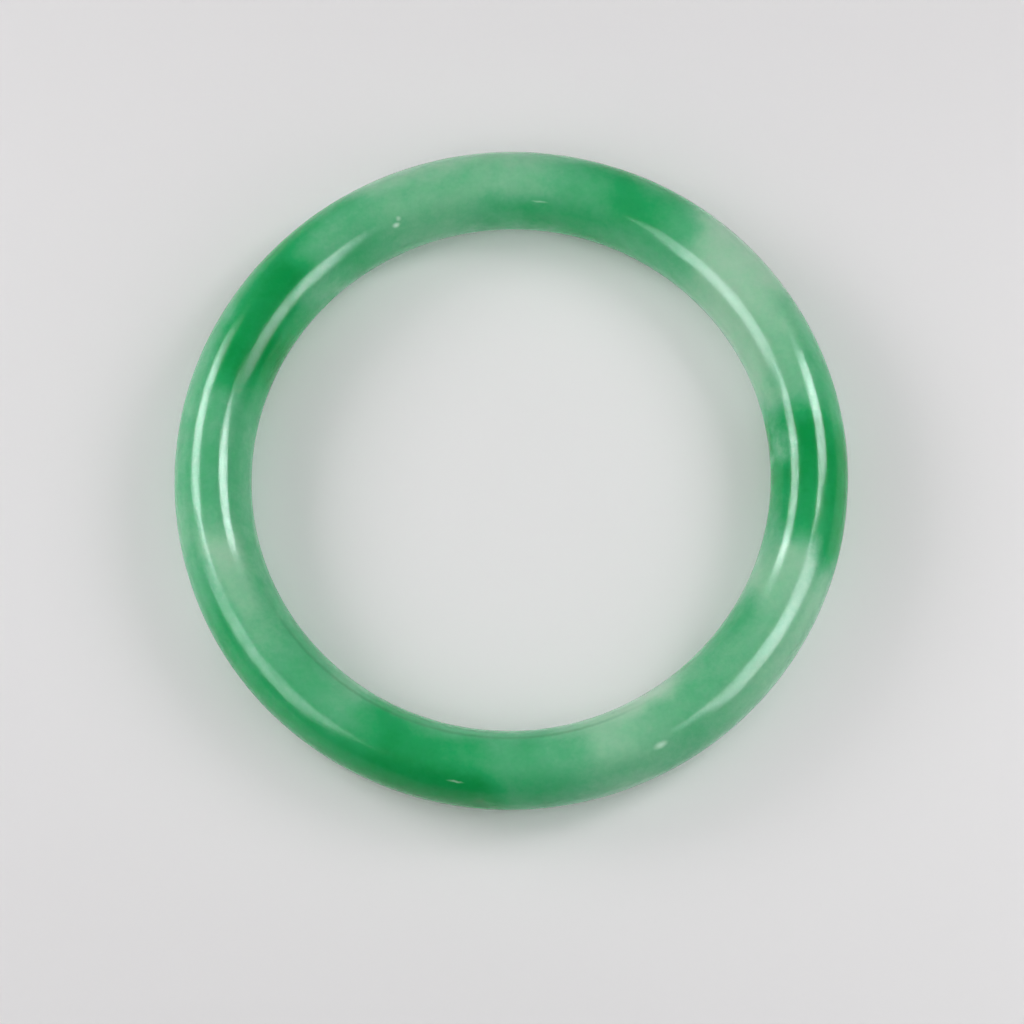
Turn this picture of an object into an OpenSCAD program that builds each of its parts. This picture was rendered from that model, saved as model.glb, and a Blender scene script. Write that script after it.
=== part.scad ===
// Solid carved jade bangle: one closed ring with no clasp, hinge or joint.
// It lies flat. +Z is the ring's axis, and the origin is the centre of the
// opening at the height of the surface that the ring rests on.
// All lengths are in millimetres.

/* [Ring] */
// Diameter of the wrist opening where it is narrowest
wrist_opening = 56; // [48:0.5:66]
// Width of the bar, measured outwards from the opening
bar_width = 8.4; // [5:0.2:14]
// Height of the bar, measured along the ring's axis
bar_height = 10.2; // [5:0.2:16]

/* [Smoothness] */
// Flats round the ring in the preview
ring_flats = 180; // [48:12:360]
// Flats round the bar's section in the preview
section_flats = 72; // [24:12:144]

/* [Hidden] */

jade = "#5fb089";

// Radius of the circle that runs through the middle of the bar
centre_radius = (wrist_opening + bar_width) / 2;

// Oval cross-section of the bar, standing on the rest surface. It is a smooth
// oval all round, because the bar is polished with no flat and no edge.
module bar_section() {
  translate([centre_radius, bar_height / 2])
    scale([bar_width / 2, bar_height / 2])
      circle(r = 1, $fn = section_flats);
}

// The whole bracelet: the section swept once round the ring's axis.
module bangle() {
  color(jade)
    rotate_extrude($fn = ring_flats)
      bar_section();
}

bangle();
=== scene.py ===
"""Studio view of a solid jade bangle lying on a pale table.

The ring is one piece. Its jade is a procedural material: colour zones placed
round the ring, broken up by three-dimensional noise, over a translucent,
polished stone. All lengths are in metres and all angles in degrees.
"""

import math

import bpy
from mathutils import Matrix, Vector, noise


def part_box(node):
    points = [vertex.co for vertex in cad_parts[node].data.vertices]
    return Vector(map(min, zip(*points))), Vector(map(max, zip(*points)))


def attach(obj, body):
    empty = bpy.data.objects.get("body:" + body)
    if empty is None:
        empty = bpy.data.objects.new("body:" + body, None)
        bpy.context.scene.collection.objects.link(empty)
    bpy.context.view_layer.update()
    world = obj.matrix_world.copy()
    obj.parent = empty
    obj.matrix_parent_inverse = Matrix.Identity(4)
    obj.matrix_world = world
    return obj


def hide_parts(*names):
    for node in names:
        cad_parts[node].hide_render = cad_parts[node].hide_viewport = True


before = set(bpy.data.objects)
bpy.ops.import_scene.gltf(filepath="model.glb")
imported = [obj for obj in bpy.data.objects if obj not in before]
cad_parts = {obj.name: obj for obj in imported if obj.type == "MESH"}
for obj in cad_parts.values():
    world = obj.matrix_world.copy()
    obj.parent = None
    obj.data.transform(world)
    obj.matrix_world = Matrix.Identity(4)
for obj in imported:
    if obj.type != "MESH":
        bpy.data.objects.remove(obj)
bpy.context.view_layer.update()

# ---- sizes, taken from the frame -------------------------------------------
LOW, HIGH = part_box("bangle")
OUTER_RADIUS = (HIGH.x - LOW.x) / 2
BAR_HEIGHT = HIGH.z - LOW.z
INNER_RADIUS = min(math.hypot(v.co.x, v.co.y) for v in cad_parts["bangle"].data.vertices)
BAR_WIDTH = OUTER_RADIUS - INNER_RADIUS
RING_RADIUS = OUTER_RADIUS - BAR_WIDTH / 2
MIDDLE = Vector((0.0, 0.0, LOW.z + BAR_HEIGHT / 2))


# ---- small helpers -----------------------------------------------------------
def toward(azimuth, zenith):
    """Unit vector at an angle round from +X and an angle down from +Z."""
    a = math.radians(azimuth)
    z = math.radians(zenith)
    return Vector((math.sin(z) * math.cos(a), math.sin(z) * math.sin(a), math.cos(z)))


def link(obj):
    bpy.context.scene.collection.objects.link(obj)
    return obj


# ---- the ring ----------------------------------------------------------------
RING_STEPS = 640
SECTION_STEPS = 120
# How far the hand-ground bar strays from a perfect ring, and how often.
WAVE = 0.00004
SLOW_WAVES = 1.6
FINE_WAVES = 5.0
FINE_SHARE = 0.3
SLOW_START = Vector((7.1, 2.3, 4.7))
FINE_START = Vector((1.9, 8.2, 3.3))
WAVE_ROUND_BAR = 0.12
# A tiny chip on the outside of the bar.
NICK_ANGLE = 258.6
NICK_HALF_LENGTH = 0.9   # degrees round the ring
NICK_SIDE = math.radians(18)
NICK_HALF_WIDTH = 0.22   # radians round the bar
NICK_DEPTH = 0.00022


def bar_offset(angle, around):
    """How far a point of the bar moves out from the true oval, in metres."""
    a = math.radians(angle)
    spot = Vector((math.cos(a), math.sin(a), 0.0))
    turned = Vector((math.cos(around) * spot.x, math.cos(around) * spot.y, math.sin(around)))
    spot += WAVE_ROUND_BAR * turned
    slow = noise.noise(spot * SLOW_WAVES + SLOW_START)
    fine = noise.noise(spot * FINE_WAVES + FINE_START)
    along = (angle - NICK_ANGLE) / NICK_HALF_LENGTH
    across = (around - NICK_SIDE) / NICK_HALF_WIDTH
    nick = NICK_DEPTH * math.exp(-along * along - across * across)
    return WAVE * (slow + FINE_SHARE * fine) - nick


def make_bangle():
    """The bar's oval section swept round the ring, as one closed mesh."""
    verts = []
    for i in range(RING_STEPS):
        angle = 360.0 * i / RING_STEPS
        a = math.radians(angle)
        for j in range(SECTION_STEPS):
            around = 2 * math.pi * j / SECTION_STEPS
            grow = bar_offset(angle, around) - WAVE
            r = RING_RADIUS + (BAR_WIDTH / 2 + grow) * math.cos(around)
            up = (BAR_HEIGHT / 2 + grow) * math.sin(around)
            verts.append((r * math.cos(a), r * math.sin(a), MIDDLE.z + up))
    faces = []
    for i in range(RING_STEPS):
        here = i * SECTION_STEPS
        there = (i + 1) % RING_STEPS * SECTION_STEPS
        for j in range(SECTION_STEPS):
            k = (j + 1) % SECTION_STEPS
            faces.append((here + j, there + j, there + k, here + k))
    mesh = bpy.data.meshes.new("jade_bangle")
    mesh.from_pydata(verts, [], faces)
    mesh.update()
    for polygon in mesh.polygons:
        polygon.use_smooth = True
    return link(bpy.data.objects.new("jade_bangle", mesh))


# ---- the jade: colour zones ---------------------------------------------------
# How strong the green is round the ring, as (angle, strength) along three lines:
# the outside of the bar, its crown and its inside. 0 is the palest, 1 the deepest.
ZONE_START = -6.9  # azimuth at which the angles of the zones begin
OUTSIDE_GREEN = (
    (0, 1.00), (12, 0.60), (30, 0.40), (37, 0.15), (48, 0.10), (58, 0.60), (72, 0.70),
    (80, 0.45), (90, 0.30), (114, 0.25), (124, 0.65), (135, 0.80), (160, 0.45), (194, 0.45),
    (212, 0.75), (236, 0.75), (252, 1.00), (264, 1.00), (271, 0.65), (293, 0.35), (304, 0.50),
    (318, 0.35), (337, 0.30), (346, 0.85),
)
CROWN_GREEN = (
    (0, 0.95), (6, 1.00), (15, 0.35), (45, 0.15), (55, 0.55), (66, 0.80), (76, 0.55),
    (90, 0.35), (113, 0.40), (121, 0.50), (131, 0.50), (140, 1.00), (159, 0.95), (168, 0.50),
    (190, 0.50), (197, 0.20), (216, 0.45), (228, 0.55), (237, 0.50), (248, 0.90), (262, 0.75),
    (271, 0.55), (283, 0.45), (289, 0.25), (302, 0.45), (320, 0.45), (341, 0.20), (349, 0.80),
)
INSIDE_GREEN = (
    (0, 0.80), (3, 0.30), (14, 0.15), (38, 0.20), (56, 0.55), (82, 0.70), (108, 0.45),
    (126, 0.60), (136, 0.40), (145, 0.75), (156, 1.00), (165, 0.60), (175, 0.50), (208, 0.50),
    (222, 0.60), (238, 0.35), (243, 0.70), (264, 0.50), (277, 0.45), (287, 0.20), (302, 0.05),
    (314, 0.45), (327, 0.60), (334, 0.20), (347, 0.45),
)
GREEN_COLOURS = (
    (0.00, (0.46, 0.67, 0.51)),
    (0.25, (0.295, 0.605, 0.39)),
    (0.50, (0.115, 0.485, 0.245)),
    (0.75, (0.022, 0.405, 0.135)),
    (1.00, (0.003, 0.325, 0.078)),
)
# Sides of the bar between which one line of zones fades into the next.
# A side runs from -1 at the opening to 1 at the outer edge.
CROWN_TO_OUTSIDE = (0.05, 0.65)
INSIDE_TO_CROWN = (-0.85, -0.25)
# The zones' edges wander by noise: its size, and its reach at the underside and the top.
WANDER_SIZE = 0.006
WANDER_REACH = (0.0125, 0.0033)
LEAN_SIZE = 0.016
LEAN_REACH = (0.0260, 0.0)

# ---- the jade: cloudiness, painted reflections and polish -----------------------
CLOUD_SIZE = 0.009
CLOUD_STRENGTH = 0.26
FIBRE_SIZE = 0.0022
FIBRE_STRENGTH = 0.22
GRAIN_SIZE = 0.0005
GRAIN_STRENGTH = 0.08
CRUMBLE_SIZE = 0.0006   # the noise that makes the edges of small marks irregular
CRUMBLE_REACH = 0.00018
# Painted reflection: a thin dark line near the opening, on the part of the ring nearest the camera,
# painted into the colour in place of the mirrored contact shadow under the bar.
REFLECTED_SHADOW_SIDE = -0.69
REFLECTED_SHADOW_WIDTH = 0.07
REFLECTED_SHADOW_ROUND_RING = ((0, 0.0), (205, 0.0), (225, 1.0), (280, 1.0), (305, 0.0))
REFLECTED_SHADOW_STRENGTH = 0.33
REFLECTED_SHADOW_COLOUR = (0.03, 0.20, 0.08, 1.0)
# Painted glints: small pale spots in place of reflections of small lamps. Each glint: angle, side,
# half length, half width, strength.
PAINTED_GLINTS = (
    (298, 0.46, 0.00105, 0.00055, 0.90),
    (115, -0.61, 0.00060, 0.00045, 1.00),
    (114, -0.50, 0.00040, 0.00040, 0.60),
    (84, -0.60, 0.00120, 0.00018, 0.45),
    (261, 0.53, 0.00120, 0.00018, 0.50),
)
PAINTED_GLINT_COLOUR = (0.64, 0.86, 0.72, 1.0)
PEEL_SIZE = 0.00024     # the faint orange peel that grinding leaves in jade
SWELL_SIZE = 0.0035     # slow unevenness under the peel
SWELL_TO_PEEL = 2.5
RELIEF_DEPTH = 0.000012
ROUGHNESS = (0.09, 0.13)
REFRACTION = 1.5
SPECULAR_LEVEL = 0.20
SCATTER_WEIGHT = 0.85
SCATTER_COLOUR = (0.6, 1.0, 0.75)
SCATTER_DEPTH = 0.0028


class Nodes:
    """A short way to add nodes to one material and join them."""

    def __init__(self, tree):
        self.tree = tree

    def add(self, kind, **inputs):
        node = self.tree.nodes.new(kind)
        for name, value in inputs.items():
            self.put(node.inputs[name.replace("_", " ")], value)
        return node

    def put(self, socket, value):
        if isinstance(value, bpy.types.NodeSocket):
            self.tree.links.new(value, socket)
        else:
            socket.default_value = value

    def math(self, operation, first, second=0.0, third=0.0, clamp=False):
        node = self.tree.nodes.new("ShaderNodeMath")
        node.operation = operation
        node.use_clamp = clamp
        for socket, value in zip(node.inputs, (first, second, third)):
            self.put(socket, value)
        return node.outputs[0]

    def vector(self, operation, first, second):
        """Vector maths on two vectors, or on a vector and a number for SCALE."""
        node = self.tree.nodes.new("ShaderNodeVectorMath")
        node.operation = operation
        self.put(node.inputs[0], first)
        self.put(node.inputs["Scale" if operation == "SCALE" else 1], second)
        return node.outputs[0]

    def length(self, value):
        node = self.tree.nodes.new("ShaderNodeVectorMath")
        node.operation = "LENGTH"
        self.put(node.inputs[0], value)
        return node.outputs["Value"]

    def noise(self, vector, size, detail, roughness=0.5, distortion=0.0):
        """Noise from 0 to 1 whose features are about size metres across."""
        return self.noise_node(vector, size, detail, roughness, distortion).outputs[0]

    def noise_node(self, vector, size, detail, roughness=0.5, distortion=0.0):
        node = self.add("ShaderNodeTexNoise", Vector=vector, Scale=1.0 / size, Detail=detail)
        self.put(node.inputs["Roughness"], roughness)
        self.put(node.inputs["Distortion"], distortion)
        return node

    def shake(self, vector, size, detail, roughness=0.5):
        """Vector noise round zero."""
        colour = self.noise_node(vector, size, detail, roughness).outputs["Color"]
        return self.vector("SUBTRACT", colour, (0.5, 0.5, 0.5))

    def push(self, vector, shake, reach):
        """A place moved by a shake times a reach in metres."""
        return self.vector("ADD", vector, self.vector("SCALE", shake, reach))

    def ramp(self, factor, stops, smooth=True):
        node = self.tree.nodes.new("ShaderNodeValToRGB")
        self.put(node.inputs[0], factor)
        ramp = node.color_ramp
        ramp.interpolation = "EASE" if smooth else "LINEAR"
        while len(ramp.elements) > 1:
            ramp.elements.remove(ramp.elements[-1])
        ramp.elements[0].position = stops[0][0]
        ramp.elements[0].color = (*stops[0][1], 1)
        for position, colour in stops[1:]:
            ramp.elements.new(position).color = (*colour, 1)
        return node.outputs[0]

    def range(self, value, from_low, from_high, to_low, to_high):
        """A value carried smoothly from one range into another."""
        node = self.tree.nodes.new("ShaderNodeMapRange")
        node.interpolation_type = "SMOOTHSTEP"
        for socket, number in zip(node.inputs, (value, from_low, from_high, to_low, to_high)):
            self.put(socket, number)
        return node.outputs[0]

    def mix(self, factor, first, second):
        """One number fading into another."""
        node = self.tree.nodes.new("ShaderNodeMix")
        node.data_type = "FLOAT"
        self.put(node.inputs[0], factor)
        self.put(node.inputs[2], first)
        self.put(node.inputs[3], second)
        return node.outputs[0]

    def blend(self, factor, first, second):
        """One colour fading into another."""
        node = self.tree.nodes.new("ShaderNodeMix")
        node.data_type = "RGBA"
        self.put(node.inputs[0], factor)
        self.put(node.inputs[6], first)
        self.put(node.inputs[7], second)
        return node.outputs[2]


def around_ring(nodes, turn, strengths):
    """Strength at a fraction of a turn, from a list of angles and strengths."""
    stops = [(angle / 360, (value,) * 3) for angle, value in strengths]
    stops.append((1.0, stops[0][1]))
    return nodes.ramp(turn, stops)


def turn_of(nodes, place):
    """Where a place lies round the ring, as a fraction of a turn from ZONE_START."""
    xyz = nodes.add("ShaderNodeSeparateXYZ", Vector=place).outputs
    turn = nodes.math("DIVIDE", nodes.math("ARCTAN2", xyz["Y"], xyz["X"]), 2 * math.pi)
    return nodes.math("FRACT", nodes.math("ADD", turn, 1 - ZONE_START / 360))


def side_of(nodes, place):
    """Where a place lies across the bar: -1 at the opening, 1 at the outer edge."""
    reach = nodes.length(nodes.vector("MULTIPLY", place, (1, 1, 0)))
    return nodes.math("DIVIDE", nodes.math("SUBTRACT", reach, RING_RADIUS), BAR_WIDTH / 2)


def wandering_place(nodes, place):
    """A place pushed about by noise, so that zones read there get irregular edges.

    Toward the underside the push grows, so that the zones don't run straight down.
    """
    height = nodes.add("ShaderNodeSeparateXYZ", Vector=place).outputs["Z"]
    wander = nodes.shake(place, WANDER_SIZE, 5, 0.6)
    lean = nodes.shake(place, LEAN_SIZE, 1)
    pushed = nodes.push(place, wander, nodes.range(height, LOW.z, HIGH.z, *WANDER_REACH))
    return nodes.push(pushed, lean, nodes.range(height, LOW.z, HIGH.z, *LEAN_REACH))


def zone_green(nodes, turn, side):
    """How strong the green is, from the three lines of zones."""
    outside = around_ring(nodes, turn, OUTSIDE_GREEN)
    crown = around_ring(nodes, turn, CROWN_GREEN)
    inside = around_ring(nodes, turn, INSIDE_GREEN)
    green = nodes.mix(nodes.range(side, *CROWN_TO_OUTSIDE, 0.0, 1.0), crown, outside)
    return nodes.mix(nodes.range(side, *INSIDE_TO_CROWN, 1.0, 0.0), green, inside)


def vary(nodes, green, value, strength, clamp=False):
    """A strength of green moved up and down by noise from 0 to 1."""
    move = nodes.math("MULTIPLY_ADD", value, strength, -strength / 2)
    return nodes.math("ADD", green, move, clamp=clamp)


def painted_reflected_shadow_mask(nodes, place, turn):
    """Strength of a painted reflection: a thin dark line close to the opening, on the part of the
    ring nearest the camera, in place of the mirrored contact shadow under the bar.
    """
    away = nodes.math("ABSOLUTE", nodes.math("SUBTRACT", side_of(nodes, place), REFLECTED_SHADOW_SIDE))
    reflected_shadow_line = nodes.range(away, 0.0, REFLECTED_SHADOW_WIDTH, 1.0, 0.0)
    reflected_shadow_line = nodes.math("MULTIPLY", reflected_shadow_line, around_ring(nodes, turn, REFLECTED_SHADOW_ROUND_RING))
    return nodes.math("MULTIPLY", reflected_shadow_line, REFLECTED_SHADOW_STRENGTH)


def painted_glint_mask(nodes, place, angle, side, length, width, strength):
    """Strength of one painted glint, a small pale patch in place of a small lamp's reflection, at an
    angle and a side of the bar.
    """
    azimuth = math.radians(angle + ZONE_START)
    reach = RING_RADIUS + side * BAR_WIDTH / 2
    height = MIDDLE.z + BAR_HEIGHT / 2 * math.sqrt(1 - side * side)
    local = nodes.add("ShaderNodeMapping", Vector=place)
    local.vector_type = "TEXTURE"
    local.inputs["Location"].default_value = (
        reach * math.cos(azimuth), reach * math.sin(azimuth), height)
    local.inputs["Rotation"].default_value = (0, 0, azimuth)
    local.inputs["Scale"].default_value = (width, length, width)
    return nodes.range(nodes.length(local.outputs[0]), 0.0, 1.0, strength, 0.0)


def jade_colour(nodes, place, fibre):
    """Zones, cloudiness at three sizes, a painted reflection of the contact shadow and painted
    glints.
    """
    wandering = wandering_place(nodes, place)
    turn = turn_of(nodes, wandering)
    green = zone_green(nodes, turn, side_of(nodes, wandering))
    cloud = nodes.noise(place, CLOUD_SIZE, 4, 0.55, 0.6)
    grain = nodes.noise(place, GRAIN_SIZE, 2)
    green = vary(nodes, green, cloud, CLOUD_STRENGTH)
    green = vary(nodes, green, fibre, FIBRE_STRENGTH)
    green = vary(nodes, green, grain, GRAIN_STRENGTH, clamp=True)
    colour = nodes.ramp(green, GREEN_COLOURS, smooth=False)

    crumbled = nodes.push(place, nodes.shake(place, CRUMBLE_SIZE, 2), CRUMBLE_REACH)
    # Paints the reflected contact shadow into the base colour.
    colour = nodes.blend(painted_reflected_shadow_mask(nodes, crumbled, turn), colour, REFLECTED_SHADOW_COLOUR)
    # Paints the glints, pale spots in place of reflections of small lamps, into the base colour.
    for glint_spot in PAINTED_GLINTS:
        colour = nodes.blend(painted_glint_mask(nodes, crumbled, *glint_spot), colour, PAINTED_GLINT_COLOUR)
    return colour


def jade_material():
    material = bpy.data.materials.new("jade")
    material.use_nodes = True
    tree = material.node_tree
    tree.nodes.clear()
    nodes = Nodes(tree)
    place = nodes.add("ShaderNodeTexCoord").outputs["Object"]
    fibre = nodes.noise(place, FIBRE_SIZE, 5, 0.6, 0.3)
    peel = nodes.noise(place, PEEL_SIZE, 2)
    swell = nodes.noise(place, SWELL_SIZE, 2)
    relief = nodes.math("MULTIPLY_ADD", swell, SWELL_TO_PEEL, peel)
    bump = nodes.add("ShaderNodeBump", Strength=1.0, Distance=RELIEF_DEPTH, Height=relief)

    shader = nodes.add("ShaderNodeBsdfPrincipled")
    nodes.put(shader.inputs["Base Color"], jade_colour(nodes, place, fibre))
    nodes.put(shader.inputs["Roughness"], nodes.range(fibre, 0.3, 0.7, *ROUGHNESS))
    nodes.put(shader.inputs["Normal"], bump.outputs[0])
    shader.inputs["IOR"].default_value = REFRACTION
    shader.inputs["Specular IOR Level"].default_value = SPECULAR_LEVEL
    shader.inputs["Subsurface Weight"].default_value = SCATTER_WEIGHT
    shader.inputs["Subsurface Radius"].default_value = SCATTER_COLOUR
    shader.inputs["Subsurface Scale"].default_value = SCATTER_DEPTH
    output = nodes.add("ShaderNodeOutputMaterial")
    nodes.put(output.inputs["Surface"], shader.outputs[0])
    return material


# ---- the table and the room ------------------------------------------------------
TABLE_SIZE = 2.4
TABLE_COLOUR = (0.805, 0.783, 0.792)
TABLE_ROUGHNESS = 0.85
TABLE_SPECULAR_LEVEL = 0.1
ROOM_COLOUR = (0.985, 0.985, 1.0)
ROOM_STRENGTH = 0.16


def make_table():
    """A plain pale sheet, large enough to fill the view."""
    half = TABLE_SIZE / 2
    mesh = bpy.data.meshes.new("table")
    corners = [(-half, -half, LOW.z), (half, -half, LOW.z), (half, half, LOW.z), (-half, half, LOW.z)]
    mesh.from_pydata(corners, [], [(0, 1, 2, 3)])
    material = bpy.data.materials.new("table_white")
    material.use_nodes = True
    shader = material.node_tree.nodes["Principled BSDF"]
    shader.inputs["Base Color"].default_value = (*TABLE_COLOUR, 1)
    shader.inputs["Roughness"].default_value = TABLE_ROUGHNESS
    shader.inputs["Specular IOR Level"].default_value = TABLE_SPECULAR_LEVEL
    mesh.materials.append(material)
    table = link(bpy.data.objects.new("table", mesh))
    return table


def make_room():
    world = bpy.data.worlds.new("room")
    bpy.context.scene.world = world
    world.use_nodes = True
    background = world.node_tree.nodes["Background"]
    background.inputs["Color"].default_value = (*ROOM_COLOUR, 1)
    background.inputs["Strength"].default_value = ROOM_STRENGTH


# ---- the lamps ---------------------------------------------------------------------
FAR = 10 * RING_RADIUS
NEAR = 6 * RING_RADIUS
# A lamp's place is its direction, distance, width and height.
CEILING = (toward(270, 6), FAR, 0.25, 0.25)
CEILING_RADIANCE = 1.1
CEILING_THROUGH = 0.8
# Each window: name, place, radiance, highlight's radiance.
WINDOWS = (
    ("right_window", (toward(17.5, 46), FAR, 0.093, 0.15), 6.2, 78.0),
    ("right_panel", (toward(330, 54), NEAR, 0.115, 0.115), 1.4, 74.0),
    ("left_window", (toward(153, 55), FAR, 0.16, 0.14), 4.8, 72.0),
    ("left_panel", (toward(199, 54), FAR, 0.20, 0.20), 1.4, 38.0),
)
WINDOW_THROUGH = 0.5
SHINE_THROUGH = (0.81, 1.00, 0.90)  # tint of the light that the stone lets through
GLINT_COLOUR = (0.86, 1.00, 0.98)


def lamp(name, place, radiance, colour):
    """A flat lamp that faces the ring's middle. radiance is its brightness as seen."""
    away, distance, width, height = place
    data = bpy.data.lights.new(name, "AREA")
    data.shape = "RECTANGLE"
    data.size = width
    data.size_y = height
    data.color = colour
    data.energy = radiance * width * height * math.pi
    obj = link(bpy.data.objects.new(name, data))
    obj.location = MIDDLE + away * distance
    obj.rotation_euler = away.to_track_quat("Z", "Y").to_euler()
    return obj


def soft_light(name, place, radiance, through, blockers):
    """A soft light made of two lamps with one place and one size.

    The first is stopped by the ring. Jade lets part of the light through, tinted
    green, so its shadow is pale and greenish: the second lamp carries the share
    called through, which the ring doesn't stop. Together they are white.
    """
    passed = [through * value for value in SHINE_THROUGH]
    stopped = [1 - value for value in passed]
    body = lamp(name, place, radiance, stopped)
    body.visible_glossy = False
    shine = lamp(name + "_through", place, radiance, passed)
    shine.visible_glossy = False
    shine.light_linking.blocker_collection = blockers


def highlight(name, place, radiance):
    """A lamp that is only seen mirrored in the polish."""
    mirrored = lamp(name + "_glint", place, radiance, GLINT_COLOUR)
    mirrored.visible_diffuse = False
    mirrored.visible_transmission = False


def make_lights(table):
    blockers = bpy.data.collections.new("stops_all_light")
    blockers.objects.link(table)
    soft_light("ceiling", CEILING, CEILING_RADIANCE, CEILING_THROUGH, blockers)
    for name, place, radiance, glint in WINDOWS:
        soft_light(name, place, radiance, WINDOW_THROUGH, blockers)
        highlight(name, place, glint)


# ---- the camera --------------------------------------------------------------------
CAMERA_DISTANCE = 10 * RING_RADIUS
CAMERA_TILT = 13.8      # degrees away from straight above, on the -Y side
CAMERA_ROLL = -6.9
SENSOR_MM = 36
LENS_MM = 104.8
AIM = Vector((-0.0003, -0.0042, MIDDLE.z))


def make_camera():
    data = bpy.data.cameras.new("camera")
    data.sensor_width = SENSOR_MM
    data.lens = LENS_MM
    data.clip_start = 0.01
    camera = link(bpy.data.objects.new("camera", data))
    camera.location = MIDDLE + toward(270, CAMERA_TILT) * CAMERA_DISTANCE
    look = (AIM - camera.location).to_track_quat("-Z", "Y").to_matrix()
    roll = Matrix.Rotation(math.radians(CAMERA_ROLL), 3, "Z")
    camera.rotation_euler = (look @ roll).to_euler()
    bpy.context.scene.camera = camera


# ---- putting it together -------------------------------------------------------------
bangle = make_bangle()
bangle.data.materials.append(jade_material())
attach(bangle, "root")
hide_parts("bangle")

make_room()
make_lights(make_table())
make_camera()
bpy.context.scene.view_settings.view_transform = "Standard"
